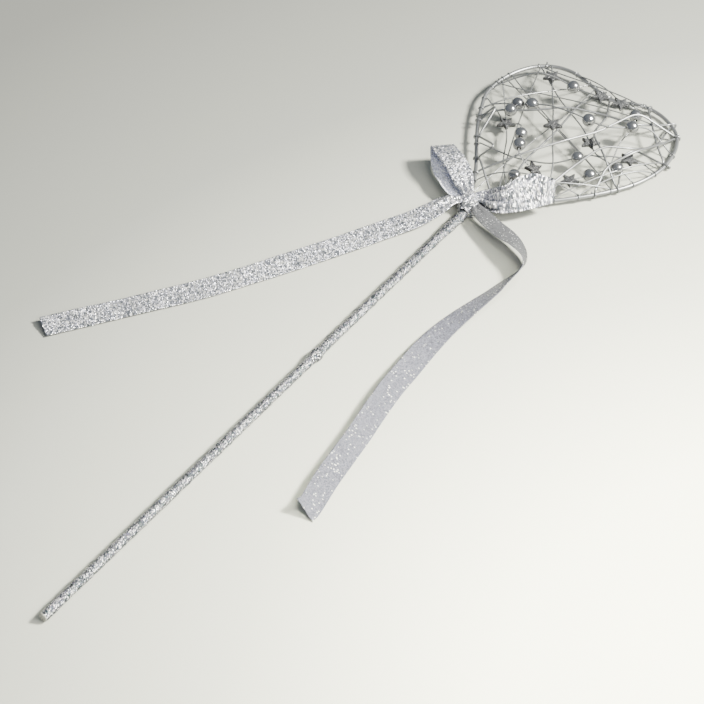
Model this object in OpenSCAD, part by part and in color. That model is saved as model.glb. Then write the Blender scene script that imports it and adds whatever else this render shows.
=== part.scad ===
// Magic wand: ribbon-wrapped stem, wire heart head with beads and stars, ribbon bow.
// Millimetres. X runs along the stem towards the head, Z is up, the wand lies on Z = 0.

/* [Stem] */
// diameter of the hidden rod
rod_d = 3.0; // [2.6:0.1:3.2]
// diameter over the ribbon wrap, at its thickest
wrap_d = 4.2; // [4.0:0.1:4.3]
// pitch of the ribbon's turns along the rod
wrap_pitch = 7.5; // [6:0.5:10]
// length of the rod behind the neck
stem_length = 284; // [282:0.5:284]

/* [Heart] */
// diameter of the frame wire
frame_d = 1.5; // [1.4:0.1:1.6]
// diameter of the winding wires
wind_d = 0.8; // [0.7:0.05:0.85]
// diameter of the fine wires that carry beads and stars
fine_d = 0.5; // [0.4:0.05:0.55]

/* [Beads and stars] */
// diameter of a bead
bead_d = 6.0; // [5.6:0.1:6.1]
// diameter of a bead's hole
bead_bore = 1.6; // [1.4:0.1:1.8]
// distance across a star's tips from its centre, doubled
star_d = 9.6; // [9:0.1:9.8]
// thickness of a star
star_t = 2.0; // [1.8:0.1:2.1]
// diameter of a star's hole
star_bore = 1.2; // [1.1:0.05:1.3]

/* [Ribbon] */
// width of the bow's ribbon
ribbon_w = 10; // [9:0.5:10.5]
// thickness of the ribbon as a solid
ribbon_t = 0.6; // [0.5:0.05:0.7]

/* [Hidden] */
stem_z = 2.3;
move = [90.8, -24.41, -0.05];
steel = [0.62, 0.63, 0.66];
silver = [0.76, 0.76, 0.8];
glitter = [0.5, 0.5, 0.54];

// heart wire: from one leg beside the rod, round the heart, to the other leg
heart = [[-18, 1.42, stem_z], [-11, 1.42, stem_z], [-4, 1.5, 2.4], [1.5, 2.3, 3], [6, 3.9, 3.6],
  [13, 7, 4.2], [23, 12.5, 4.6], [43, 25, 5], [57, 32, 5.4], [68, 36, 5.6], [79, 36, 5.7],
  [89, 33.5, 5.6], [97.5, 28.5, 5.5], [103, 21, 5.2], [104.5, 12, 4.8], [102, 2, 4.2],
  [99, -8, 3.8], [99, -15, 3.4], [102.5, -22, 3], [103.8, -28, 2.7], [102.8, -36, 2.3],
  [98, -45, 2], [91.5, -50.5, 1.8], [81, -54, 1.8], [68, -54.5, 2], [53, -50, 2.3],
  [37, -40, 2.8], [23, -28, 3.3], [12, -16.5, 3.8], [6, -8.4, 3.6], [1.9, -2.9, 3],
  [-4, -1.5, 2.4], [-11, -1.42, stem_z], [-18, -1.42, stem_z]];

// vectors
function len3(a) = norm(a) < 0.000001 ? 0.000001 : norm(a);
function unit(a) = a / len3(a);
function mix(a, b, t) = a * (1 - t) + b * t;
function xy(a) = [a[0], a[1]];
// one span of a smooth curve through b and c
function span(a, b, c, d, t) = 0.5 * ((2 * b) + (c - a) * t + (2 * a - 5 * b + 4 * c - d) * t * t
  + (3 * b - a - 3 * c + d) * t * t * t);
function smooth(p, n) = [for (i = [0 : len(p) - 2], k = [0 : n - 1])
  span(p[max(i - 1, 0)], p[i], p[i + 1], p[min(i + 2, len(p) - 1)], k / n), p[len(p) - 1]];
// index of a path's point nearest to x, y in plan
function near(p, q) = let (d = [for (a = p) norm(xy(a) - q)]) search(min(d), d)[0];

frame_path = smooth(heart, 5);
heart_mid = [52, -9, 0];

// a turn of wire round the frame: over the outside, under, and back up inside
function turn(q, r, way, reach) = let (
    i = near(frame_path, q), p = frame_path[i], t = unit(frame_path[i + 1] - frame_path[i - 1]),
    s = cross(t, [0, 0, 1]), o = unit([s[0], s[1], 0]),
    out = (p - heart_mid) * o < 0 ? -o : o, g = frame_d / 2 + r + 0.2)
  [for (k = [0 : 8]) let (a = 150 - 45 * k)
    p + out * (g + reach * max(0, cos(a))) * cos(a) + [0, 0, g * sin(a)]
    + t * way * (k / 8 - 0.5) * (2 * r + 0.5)];
// a route's item is a free point [x, y, z] or a turn [x, y, way, reach] round the frame
function spread(route, r) = [for (e = route)
  each (len(e) == 3 ? [e] : turn([e[0], e[1]], r, e[2], e[3]))];
// corners of a route rounded over at most 5 mm
function ease(p) = [p[0], for (i = [1 : len(p) - 2]) let (
    a = p[i - 1], b = p[i], c = p[i + 1], la = norm(a - b), lc = norm(c - b),
    u = b + (a - b) / la * min(0.3 * la, 5), v = b + (c - b) / lc * min(0.3 * lc, 5))
  each (la < 1.6 && lc < 1.6 ? [b]
    : [for (t = [0 : 0.25 : 1]) u * (1 - t) * (1 - t) + b * 2 * t * (1 - t) + v * t * t]),
  p[len(p) - 1]];
function wire(route, r) = ease(spread(route, r));

// frames carried along a path without twisting
function tangent(p, i) = unit(p[min(i + 1, len(p) - 1)] - p[max(i - 1, 0)]);
function carry(p, i = 0, n = [0, 0, 0], out = []) = i >= len(p) ? out
  : let (t = tangent(p, i), s = i == 0 ? (abs(t[2]) < 0.9 ? [0, 0, 1] : [1, 0, 0]) : n,
      m = unit(s - t * (s * t))) carry(p, i + 1, m, concat(out, [m]));

module sweep(p, r, n = 6) {
  m = carry(p);
  ring = [for (i = [0 : len(p) - 1]) let (t = tangent(p, i), b = cross(t, m[i]))
    each [for (k = [0 : n - 1]) p[i] + r * (m[i] * cos(360 * k / n) + b * sin(360 * k / n))]];
  last = (len(p) - 1) * n;
  sides = [for (i = [0 : len(p) - 2], k = [0 : n - 1]) let (
      a = i * n + k, b = i * n + (k + 1) % n) each [[a, b + n, b], [a, a + n, b + n]]];
  polyhedron(ring, concat(sides, [[for (k = [0 : n - 1]) k], [for (k = [n - 1 : -1 : 0]) last + k]]));
}

// a ribbon along a path; side is its width direction at each point, times its share of the width
module strip(p, side, w, t) {
  n = len(p);
  pts = [for (i = [0 : n - 1]) let (s = side[i], h = unit(cross(tangent(p, i), s)))
    each [p[i] - s * w / 2 - h * t / 2, p[i] + s * w / 2 - h * t / 2,
      p[i] + s * w / 2 + h * t / 2, p[i] - s * w / 2 + h * t / 2]];
  sides = [for (i = [0 : n - 2], k = [0 : 3]) let (a = i * 4 + k, b = i * 4 + (k + 1) % 4)
    each [[a, b + 4, b], [a, a + 4, b + 4]]];
  e = (n - 1) * 4;
  polyhedron(pts, concat(sides, [[0, 1, 2], [0, 2, 3], [e + 2, e + 1, e], [e + 3, e + 2, e]]));
}

// from the neck's frame to the part's
module placed() {
  translate(move) children();
}

// turns local X to the direction d
module along(p, d) {
  translate(p) rotate([0, -asin(d[2]), atan2(d[1], d[0])]) children();
}

// free routes of the winding wires, each one wire from its first turn to its last
wind_1 = [[48, 28, 1, 0], [55, 23, 10], [61, 8, 12.5], [72, -4, 13], [80, -19, 10], [83, -34, 9],
  [99.5, -42.5, 1, 1], [79, -46, 4], [65, -43, 11.5], [56, -32, 14], [40, -26, 9.5],
  [16, -21.5, 1, 0]];
wind_2 = [[18, 8.6, 1, 0], [30, -1, 10], [37, -6, 11.5], [54, -17, 12.5], [67, -23, 10.5],
  [87, -32, 13], [93.5, -49, 1, 0], [82, -49, 6.5], [63, -45, 12.5], [50, -38, 9.5], [38, -41, 1, 0]];
wind_3 = [[98, -5, 1, 0], [83, -4, 7.5], [58, -6, 7.5], [37, -5, 7], [15, -8, 6.5],
  [6.5, -8.5, 1, 0], [18, 7, 12], [27, 15.8, 1, 0], [28, 6, 15], [37, 22, 1, 0], [55, 22, 13.5],
  [51.6, 29.2, 1, 0]];
wind_4 = [[98.5, -11, 1, 0], [80, -20, 9], [66, -21, 9.5], [54, -34, 11.5], [46.5, -46.7, -1, 0],
  [66, -37, 4], [73, -39, 4], [74, -55, -1, 1.5], [80, -46, 6], [92, -36, 7.5], [103.5, -29.5, 1, 0]];
// free routes of the fine wires that carry beads and stars
fine_1 = [[102.5, 24, 1, 2], [97, 19.5, 10.5], [82, 10, 9.5], [70, 2, 10.5], [50, -10, 10.5],
  [38, -18, 9], [19.5, -25, 1, 0]];
fine_2 = [[80, 36.2, 1, 0], [64, 23.5, 4.7], [46, 11, 4.8], [30, 3, 6], [16, -8, 5.5],
  [9.5, -13, 1, 0]];
fine_3 = [[64, 34.9, 1, 0], [58, 24, 7], [49, 14, 9], [51, 6.5, 12.5], [30, -4.5, 12.5],
  [30, -22, 5.5], [13, -18, 1, 0]];
fine_4 = [[99, 27, 1, 0], [82, 6, 6.5], [70, -14, 6.5], [55, -30, 7.5], [60, -36, 7.5],
  [66, -48, 4.5], [66, -54, 1, 0]];
fine_5 = [[103.4, -25.5, 1, 0], [98, -25, 5.5], [87, -31, 4], [74, -31, 4], [51, -38.5, 6.5],
  [31, -23.5, 5], [23.5, -28.6, 1, 0]];
fine_6 = [[73, 36.8, 1, 0], [80, 29, 9.5], [85, 19, 14.5], [88, 11, 12.5], [89, 2, 10],
  [95, -27, 7], [101.7, -20, 1, 0]];
fine_7 = [[56, 31.3, 1, 0], [61, 27, 8], [67.5, 4, 13.5], [67.5, -8, 15], [70, -25, 12],
  [84, -40, 10], [81, -54.5, 1, 0]];
fine_8 = [[33, 19.5, 1, 0], [37, 2, 4], [41, -15, 5.5], [55, -29, 9], [53.5, -46, 6],
  [52, -49.7, 1, 0]];

function fine_r() = fine_d / 2;
paths = [for (e = [fine_1, fine_2, fine_3, fine_4, fine_5, fine_6, fine_7, fine_8])
  wire(e, fine_d / 2)];
winds = [for (e = [wind_1, wind_2, wind_3, wind_4]) wire(e, wind_d / 2)];

// point of a path nearest to q in plan, and the path's direction there
function closest(p, q) = let (
    c = [for (i = [0 : len(p) - 2]) let (a = xy(p[i]), d = xy(p[i + 1]) - a, l = d * d,
      t = l < 0.000001 ? 0 : min(1, max(0, (q - a) * d / l))) [norm(a + d * t - q), i, t]],
    m = min([for (e = c) e[0]]), e = [for (e = c) if (e[0] == m) e][0])
  [mix(p[e[1]], p[e[1] + 1], e[2]), unit(p[e[1] + 1] - p[e[1]])];

// ribbon route: rows of [point, width direction times its share of the full width]
function col(rows, i) = [for (r = rows) r[i]];
loop_left_rows = [[[4.81, 6.77, 8.99], [-0.65, 0.52, -0.03]],
  [[7.26, 9.96, 10.63], [-0.8, 0.6, -0.05]], [[9.54, 13.37, 12.05], [-0.84, 0.53, -0.08]],
  [[11.57, 17.13, 12.88], [-0.87, 0.48, -0.09]], [[13.63, 20.98, 12.99], [-0.85, 0.52, -0.08]],
  [[16.04, 24.56, 12.49], [-0.79, 0.62, -0.03]], [[17.42, 26.13, 11.87], [-0.74, 0.67, 0.02]],
  [[18.75, 27.75, 11.23], [-0.7, 0.71, 0.05]], [[19.6, 28.73, 9.65], [-0.65, 0.75, 0.05]],
  [[18.23, 27.8, 8.4], [-0.61, 0.79, 0.03]], [[14.63, 25.17, 8.21], [-0.61, 0.79, -0.03]],
  [[11.2, 22.35, 7.65], [-0.69, 0.73, -0.04]], [[8.24, 19.06, 6.9], [-0.78, 0.63, -0.03]],
  [[5.68, 15.37, 6.69], [-0.83, 0.56, 0]], [[3.24, 11.67, 5.93], [-0.81, 0.51, 0]],
  [[2.05, 9.87, 5.35], [-0.72, 0.42, -0.02]]];
loop_right_rows = [[[2.53, -7.74, 7.32], [0.66, 0.17, 0.47]],
  [[2.96, -12.65, 9.07], [0.69, 0.38, 0.62]], [[5.32, -17.14, 10.02], [0.55, 0.51, 0.66]],
  [[9.03, -20.78, 10.29], [0.44, 0.57, 0.69]], [[12.97, -24.16, 10.89], [0.38, 0.55, 0.75]],
  [[16.6, -27.69, 11.87], [0.41, 0.36, 0.84]], [[18.68, -28.28, 11.14], [0.46, 0.32, 0.83]],
  [[20.73, -29.04, 10.99], [0.55, 0.31, 0.77]], [[21.06, -26.86, 10.63], [0.68, 0.24, 0.69]],
  [[20.59, -24.45, 10.58], [0.73, 0.22, 0.65]], [[18.83, -19.84, 11.12], [0.58, 0.41, 0.7]],
  [[14.85, -17.02, 11.02], [0.27, 0.62, 0.73]], [[9.86, -16.07, 10.89], [0.22, 0.69, 0.69]],
  [[5.63, -13.65, 10.1], [0.55, 0.59, 0.59]], [[3.87, -9.31, 8.73], [0.85, 0.25, 0.36]],
  [[3.76, -6.94, 7.69], [0.78, 0.08, 0.25]]];
tail_left_rows = [[[-5.2, 6.2, 6.8], [0.42, 0.6, 0]], [[-9, 8.6, 5.8], [0.48, 0.8, 0.02]],
  [[-14, 11.2, 4.2], [0.5, 0.86, 0.06]], [[-22, 15.4, 2.7], [0.5, 0.86, 0.12]],
  [[-33, 21.6, 1.9], [0.48, 0.87, 0.15]], [[-52, 31.2, 1.8], [0.47, 0.87, 0.17]],
  [[-70.5, 41, 1.8], [0.49, 0.86, 0.18]], [[-90, 51.8, 1.7], [0.5, 0.85, 0.16]],
  [[-110.5, 63.8, 1.7], [0.53, 0.83, 0.18]], [[-131, 78, 1.6], [0.56, 0.82, 0.14]],
  [[-149, 90.6, 1.7], [0.56, 0.81, 0.18]], [[-166, 102.4, 1.9], [0.54, 0.83, 0.2]]];
tail_right_rows = [[[-4.4, -6.9, 5.8], [-0.6, 0.25, 0]], [[-5.38, -9.53, 5.84], [-0.66, 0.3, 0]],
  [[-7.32, -13.91, 5.84], [-0.74, 0.31, 0.04]], [[-8.98, -18.41, 5.94], [-0.82, 0.32, 0.11]],
  [[-10.52, -22.95, 6.15], [-0.88, 0.35, 0.18]], [[-12.14, -27.43, 6.46], [-0.87, 0.37, 0.31]],
  [[-14.08, -31.78, 6.71], [-0.8, 0.34, 0.49]], [[-16.36, -35.93, 6.42], [-0.69, 0.2, 0.69]],
  [[-19.46, -39.24, 5.56], [-0.5, -0.08, 0.85]], [[-23.79, -40.5, 4.7], [-0.31, -0.41, 0.84]],
  [[-28.51, -40.17, 4.16], [-0.2, -0.59, 0.78]], [[-33.28, -39.45, 3.84], [-0.16, -0.68, 0.71]],
  [[-38.07, -38.85, 3.46], [-0.16, -0.75, 0.63]], [[-42.84, -38.24, 3.03], [-0.18, -0.82, 0.55]],
  [[-56.97, -35.36, 1.85], [-0.2, -0.93, 0.31]], [[-71.21, -33.32, 0.82], [-0.07, -0.99, 0.07]],
  [[-85.43, -33.66, 1.41], [0.06, -0.97, -0.19]], [[-99.52, -34.98, 2.12], [0.07, -0.93, -0.34]],
  [[-113.63, -36.12, 2.46], [0.09, -0.9, -0.41]], [[-127.63, -38.09, 2.45], [0.14, -0.89, -0.41]],
  [[-141.6, -40.45, 2.46], [0.14, -0.89, -0.41]], [[-155.64, -42.36, 2.44], [0.12, -0.9, -0.41]],
  [[-169.62, -44.31, 2.45], [0.16, -0.9, -0.41]], [[-183.43, -47.12, 2.43], [0, -0.9, -0.43]],
  [[-188.03, -47.47, 2.6], [-0.17, -0.87, -0.46]]];

// the rod; past its round part a flat tongue stands between the two ends of the heart wire
module stem_core() {
  color(steel) placed() {
    translate([-stem_length, 0, stem_z]) rotate([0, 90, 0])
      cylinder(d = rod_d, h = stem_length - 20, $fn = 48);
    translate([-20.4, -0.6, stem_z - 1]) cube([18.4, 1.2, 2]);
  }
}

// a flat-sided tube along X, for the ribbon round the rod's tongue and the two wire ends
module oval_bar(r, off, x0, x1) {
  for (s = [-1, 1]) translate([x0, s * off, stem_z]) rotate([0, 90, 0])
    cylinder(r = r, h = x1 - x0, $fn = 48);
  translate([x0, -off, stem_z - r]) cube([x1 - x0, 2 * off, 2 * r]);
}

// shingled turns of ribbon: each turn starts on the end of the one before
module stem_wrap() {
  n = round(260.5 / wrap_pitch);
  step = 260.5 / n;
  r0 = wrap_d / 2 - 0.3;
  outer = [for (i = [0 : n - 1]) each [[-20.5 - i * step, r0],
    [-20.5 - (i + 0.12) * step, wrap_d / 2], [-20.5 - (i + 0.98) * step, r0 + 0.04]]];
  color(silver) placed() {
    translate([0, 0, stem_z]) rotate([0, 90, 0]) rotate_extrude($fn = 48)
      polygon(concat([for (p = outer) [p[1], p[0]]], [[r0, -281], [rod_d / 2 + 0.03, -281],
        [rod_d / 2 + 0.03, -20.5]]));
    difference() {
      oval_bar(wrap_d / 2, 0.42, -20.5, -5);
      oval_bar(1.56, 0.65, -21, -4);
    }
  }
}

// the ribbon's start, folded over the rod's end and opening a little
module tip_fold() {
  color(silver) placed() translate([0, 0, stem_z]) rotate([0, 90, 0]) rotate_extrude($fn = 48)
    polygon([[2, -281.1], [2.1, -283], [2.25, -285.6], [2.2, -286.2], [1.95, -286.2],
      [1.9, -285.4], [rod_d / 2 + 0.05, -284.4], [rod_d / 2 + 0.05, -281.1]]);
}

// the dab of glue that holds the fold, over the rod's end
module tip_glue() {
  color([0.86, 0.86, 0.82]) placed() translate([0, 0, stem_z]) rotate([0, 90, 0])
    rotate_extrude($fn = 48)
      polygon([[0, -284.2], [1.3, -284.2], [1.5, -284.6], [1.8, -285.4], [1.75, -286.3],
        [1.4, -286.7], [0.8, -287], [0, -287.1]]);
}

module heart_frame() {
  color(steel) placed() sweep(frame_path, frame_d / 2, 8);
}

module neck_binding() {
  color(steel) placed() sweep([for (k = [0 : 100]) [-4.3 + 0.036 * k, 3.2 * cos(18 * k),
    2.5 + 1.55 * sin(18 * k)]], 0.25, 5);
}

module winding_1() { color(steel) placed() sweep(winds[0], wind_d / 2); }
module winding_2() { color(steel) placed() sweep(winds[1], wind_d / 2); }
module winding_3() { color(steel) placed() sweep(winds[2], wind_d / 2); }
module winding_4() { color(steel) placed() sweep(winds[3], wind_d / 2); }
module bead_wire_1() { color(steel) placed() sweep(paths[0], fine_r(), 5); }
module bead_wire_2() { color(steel) placed() sweep(paths[1], fine_r(), 5); }
module bead_wire_3() { color(steel) placed() sweep(paths[2], fine_r(), 5); }
module bead_wire_4() { color(steel) placed() sweep(paths[3], fine_r(), 5); }
module bead_wire_5() { color(steel) placed() sweep(paths[4], fine_r(), 5); }
module bead_wire_6() { color(steel) placed() sweep(paths[5], fine_r(), 5); }
module bead_wire_7() { color(steel) placed() sweep(paths[6], fine_r(), 5); }
module bead_wire_8() { color(steel) placed() sweep(paths[7], fine_r(), 5); }

module bow_knot() {
  color(silver) placed() difference() {
    union() {
      translate([-4.5, 0, 0]) rotate([0, 90, 0]) hull() {
        for (s = [-1, 1]) translate([-2.75, s * 2.1, 0]) cylinder(r = 2.6, h = 6.1, $fn = 40);
      }
      translate([-0.4, 0.2, 5.5]) scale([1, 1.02, 0.72]) sphere(r = 4.9, $fn = 40);
    }
    translate([-8, 0, 0]) rotate([0, 90, 0]) hull() {
      for (s = [-1, 1]) translate([-2.75, s * 2.1, 0]) cylinder(r = 2.1, h = 16, $fn = 40);
    }
  }
}

module ribbon(rows, n) {
  color(silver) placed() strip(smooth(col(rows, 0), n), smooth(col(rows, 1), n), ribbon_w, ribbon_t);
}
module bow_loop_left() { ribbon(loop_left_rows, 5); }
module bow_loop_right() { ribbon(loop_right_rows, 5); }
module tail_left() { ribbon(tail_left_rows, 4); }
module tail_right() { ribbon(tail_right_rows, 4); }

// a bead or a star on a wire's path, at the place nearest to q in plan
module on_wire(p, q) {
  c = closest(p, q);
  along(c[0], c[1]) children();
}
module bead(p, q, shade = [0.8, 0.8, 0.82]) {
  color(shade) placed() on_wire(p, q) rotate([0, 90, 0]) difference() {
    sphere(d = bead_d, $fn = 48);
    cylinder(d = bead_bore, h = bead_d + 2, center = true, $fn = 32);
  }
}
module star(p, q, shade = glitter) {
  color(shade) placed() on_wire(p, q) difference() {
    translate([0, 0, -star_t / 2]) linear_extrude(star_t) polygon([for (k = [0 : 9])
      (k % 2 == 0 ? star_d / 2 : star_d * 0.21) * [cos(36 * k), sin(36 * k)]]);
    rotate([0, 90, 0]) cylinder(d = star_bore, h = star_d + 2, center = true, $fn = 32);
  }
}

module bead_01() { bead(paths[5], [88.5, 3]); }
module bead_02() { bead(paths[6], [65.7, 10.6]); }
module bead_03() { bead(winds[0], [58, 17]); }
module bead_04() { bead(paths[2], [44.4, 2.5]); }
module bead_05() { bead(paths[2], [37.8, -1.2]); }
module bead_06() { bead(paths[6], [69.6, -17]); }
module bead_07() { bead(paths[4], [93, -27.5]); }
module bead_08() { bead(paths[6], [79.3, -33.2]); }
module bead_09() { bead(paths[7], [49, -24]); }
module bead_10() { bead(winds[2], [24, -7]); }
module bead_11() { bead(paths[4], [42, -36]); }
module bead_12() { bead(paths[7], [51.8, -41]); }
module bead_13() { bead(paths[6], [63.8, 17], [0.3, 0.3, 0.32]); }
module star_01() { star(paths[5], [92.8, -19.5]); }
module star_02() { star(paths[5], [91.2, -10]); }
module star_03() { star(paths[0], [89.8, 15.5]); }
module star_04() { star(paths[1], [55, 17]); }
module star_05() { star(paths[0], [60, -4]); }
module star_06() { star(paths[3], [62, -22]); }
module star_07() { star(paths[3], [63, -42]); }
module star_08() { star(paths[4], [33, -32]); }
module star_09() { star(paths[2], [30, -13], [0.32, 0.32, 0.35]); }

stem_core();
stem_wrap();
tip_fold();
tip_glue();
heart_frame();
neck_binding();
winding_1();
winding_2();
winding_3();
winding_4();
bead_wire_1();
bead_wire_2();
bead_wire_3();
bead_wire_4();
bead_wire_5();
bead_wire_6();
bead_wire_7();
bead_wire_8();
bow_knot();
bow_loop_left();
bow_loop_right();
tail_left();
tail_right();
bead_01();
bead_02();
bead_03();
bead_04();
bead_05();
bead_06();
bead_07();
bead_08();
bead_09();
bead_10();
bead_11();
bead_12();
bead_13();
star_01();
star_02();
star_03();
star_04();
star_05();
star_06();
star_07();
star_08();
star_09();
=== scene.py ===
"""Looks of the fairy wand: every piece is built in millimetres in the neck's frame (X to the head,
Y left, Z up from the table, origin at the neck) and carried to the row's frame by MOVE."""

import math

import bpy
import numpy as np
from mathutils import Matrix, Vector, noise


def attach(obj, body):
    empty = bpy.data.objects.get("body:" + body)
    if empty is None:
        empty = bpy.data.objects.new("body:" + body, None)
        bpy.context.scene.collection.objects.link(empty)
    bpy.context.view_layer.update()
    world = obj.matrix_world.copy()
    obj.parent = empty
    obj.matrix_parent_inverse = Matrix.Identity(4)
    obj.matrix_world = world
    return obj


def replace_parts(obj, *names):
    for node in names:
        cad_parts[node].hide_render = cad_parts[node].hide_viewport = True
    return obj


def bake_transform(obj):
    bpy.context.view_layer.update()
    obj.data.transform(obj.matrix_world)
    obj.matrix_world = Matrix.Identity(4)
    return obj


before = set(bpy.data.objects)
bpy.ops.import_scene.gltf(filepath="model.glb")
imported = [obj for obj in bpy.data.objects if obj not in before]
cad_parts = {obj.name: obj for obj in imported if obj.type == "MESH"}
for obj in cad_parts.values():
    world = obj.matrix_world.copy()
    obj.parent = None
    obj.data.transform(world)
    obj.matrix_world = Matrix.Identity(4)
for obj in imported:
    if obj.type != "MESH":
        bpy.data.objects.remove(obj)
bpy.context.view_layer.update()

MM = 0.001
MOVE = np.array([90.8, -24.41, -0.05])  # from the neck's frame to the row's, in mm
V = np.array


# ---------------------------------------------------------------- camera

AWAY = V([0.8165, 0.5774, 0.0])  # from the camera into the picture, level
RIGHT = V([0.5774, -0.8165, 0.0])
LOOK = V([-0.0123, -0.03395, 0.0])  # the place on the table the camera is aimed at, in metres
ELEVATION = math.radians(43.5)
DISTANCE = 1.024
SENSOR, LENS = 36.0, 127.84


def aim(obj, at):
    obj.rotation_mode = "QUATERNION"
    obj.rotation_quaternion = (Vector(at) - obj.location).to_track_quat("-Z", "Y")


def make_camera():
    """The photograph's view: level directions AWAY and RIGHT, aimed at LOOK."""
    data = bpy.data.cameras.new("camera")
    data.sensor_width, data.lens = SENSOR, LENS
    data.clip_start, data.clip_end = 0.05, 30.0
    cam = bpy.data.objects.new("camera", data)
    cam.location = (LOOK - AWAY * DISTANCE * math.cos(ELEVATION)
                    + V([0, 0, DISTANCE * math.sin(ELEVATION)]))
    bpy.context.scene.collection.objects.link(cam)
    aim(cam, LOOK)
    bpy.context.scene.camera = cam


# ---------------------------------------------------------------- curves, as in the part

STEM_Z = 2.3  # height of the stem's middle line
FRAME_R, WIND_R, FINE_R = 0.75, 0.4, 0.25  # radii of the part's wires
SHOWN_FRAME, SHOWN_WIND, SHOWN_FINE = 0.88, 0.5, 0.36  # a little thicker, as the photo shows them
STRAND_R = 0.3
TWIST_R, TWIST_OFF, TWIST_PITCH = 0.21, 0.17, 2.6  # each of two strands twisted into one wire
TWISTED = (1, 2, 4)  # fine wires shown as such a pair, counted from 0
TURN_GAP = 0.2  # between the frame and a wire wound round it
CORNER = 5  # the most that a route's corner is rounded over
HEART = [
    [-18, 1.42, 2.3], [-11, 1.42, 2.3], [-4, 1.5, 2.4], [1.5, 2.3, 3], [6, 3.9, 3.6], [13, 7, 4.2],
    [23, 12.5, 4.6], [43, 25, 5], [57, 32, 5.4], [68, 36, 5.6], [79, 36, 5.7], [89, 33.5, 5.6],
    [97.5, 28.5, 5.5], [103, 21, 5.2], [104.5, 12, 4.8], [102, 2, 4.2], [99, -8, 3.8],
    [99, -15, 3.4], [102.5, -22, 3], [103.8, -28, 2.7], [102.8, -36, 2.3], [98, -45, 2],
    [91.5, -50.5, 1.8], [81, -54, 1.8], [68, -54.5, 2], [53, -50, 2.3], [37, -40, 2.8],
    [23, -28, 3.3], [12, -16.5, 3.8], [6, -8.4, 3.6], [1.9, -2.9, 3], [-4, -1.5, 2.4],
    [-11, -1.42, 2.3], [-18, -1.42, 2.3],
]
HEART_MID = V([52.0, -9.0, 0.0])

# a route's item is a free point [x, y, z] or a turn [x, y, way, reach] round the frame wire
WINDINGS = [
    [[48, 28, 1, 0], [55, 23, 10], [61, 8, 12.5], [72, -4, 13], [80, -19, 10], [83, -34, 9],
     [99.5, -42.5, 1, 1], [79, -46, 4], [65, -43, 11.5], [56, -32, 14], [40, -26, 9.5],
     [16, -21.5, 1, 0]],
    [[18, 8.6, 1, 0], [30, -1, 10], [37, -6, 11.5], [54, -17, 12.5], [67, -23, 10.5],
     [87, -32, 13], [93.5, -49, 1, 0], [82, -49, 6.5], [63, -45, 12.5], [50, -38, 9.5],
     [38, -41, 1, 0]],
    [[98, -5, 1, 0], [83, -4, 7.5], [58, -6, 7.5], [37, -5, 7], [15, -8, 6.5], [6.5, -8.5, 1, 0],
     [18, 7, 12], [27, 15.8, 1, 0], [28, 6, 15], [37, 22, 1, 0], [55, 22, 13.5],
     [51.6, 29.2, 1, 0]],
    [[98.5, -11, 1, 0], [80, -20, 9], [66, -21, 9.5], [54, -34, 11.5], [46.5, -46.7, -1, 0],
     [66, -37, 4], [73, -39, 4], [74, -55, -1, 1.5], [80, -46, 6], [92, -36, 7.5],
     [103.5, -29.5, 1, 0]],
]
FINES = [
    [[102.5, 24, 1, 2], [97, 19.5, 10.5], [82, 10, 9.5], [70, 2, 10.5], [50, -10, 10.5],
     [38, -18, 9], [19.5, -25, 1, 0]],
    [[80, 36.2, 1, 0], [64, 23.5, 4.7], [46, 11, 4.8], [30, 3, 6], [16, -8, 5.5], [9.5, -13, 1, 0]],
    [[64, 34.9, 1, 0], [58, 24, 7], [49, 14, 9], [51, 6.5, 12.5], [30, -4.5, 12.5], [30, -22, 5.5],
     [13, -18, 1, 0]],
    [[99, 27, 1, 0], [82, 6, 6.5], [70, -14, 6.5], [55, -30, 7.5], [60, -36, 7.5], [66, -48, 4.5],
     [66, -54, 1, 0]],
    [[103.4, -25.5, 1, 0], [98, -25, 5.5], [87, -31, 4], [74, -31, 4], [51, -38.5, 6.5],
     [31, -23.5, 5], [23.5, -28.6, 1, 0]],
    [[73, 36.8, 1, 0], [80, 29, 9.5], [85, 19, 14.5], [88, 11, 12.5], [89, 2, 10], [95, -27, 7],
     [101.7, -20, 1, 0]],
    [[56, 31.3, 1, 0], [61, 27, 8], [67.5, 4, 13.5], [67.5, -8, 15], [70, -25, 12], [84, -40, 10],
     [81, -54.5, 1, 0]],
    [[33, 19.5, 1, 0], [37, 2, 4], [41, -15, 5.5], [55, -29, 9], [53.5, -46, 6], [52, -49.7, 1, 0]],
]
# thin strands from one place of the frame to another: both places, two heights, sideways bend
STRANDS = [
    ([24.2, -29.1], [72.5, -54.8], 8.1, 10.7, -0.6),
    ([5.2, 3.6], [43.0, -44.2], 13.8, 11.4, -2.9),
    ([94.7, -48.4], [76.2, 36.3], 13.2, 6.4, 1.4),
    ([102.1, 2.3], [57.6, 32.3], 5.5, 13.5, 1.8),
    ([99.3, 26.7], [5.8, -8.1], 7, 9.5, -1.4),
    ([99.3, 26.7], [103.7, -26.4], 6.7, 9.3, -2.3),
    ([81.8, 35.6], [43.0, -44.2], 4.4, 6, 1.1),
    ([101.0, -1.2], [6.9, 4.3], 4, 9.6, 1.5),
    ([85.8, 34.6], [44.7, -45.3], 4.3, 9.4, -1.6),
    ([64.5, -53.9], [31.6, -35.8], 9.6, 5.2, -1.4),
    ([104.1, 9.4], [99.4, -16.1], 6.4, 7.2, 1.7),
    ([12.2, 6.6], [31.6, -35.8], 14.9, 9.3, 2.5),
]
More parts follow.
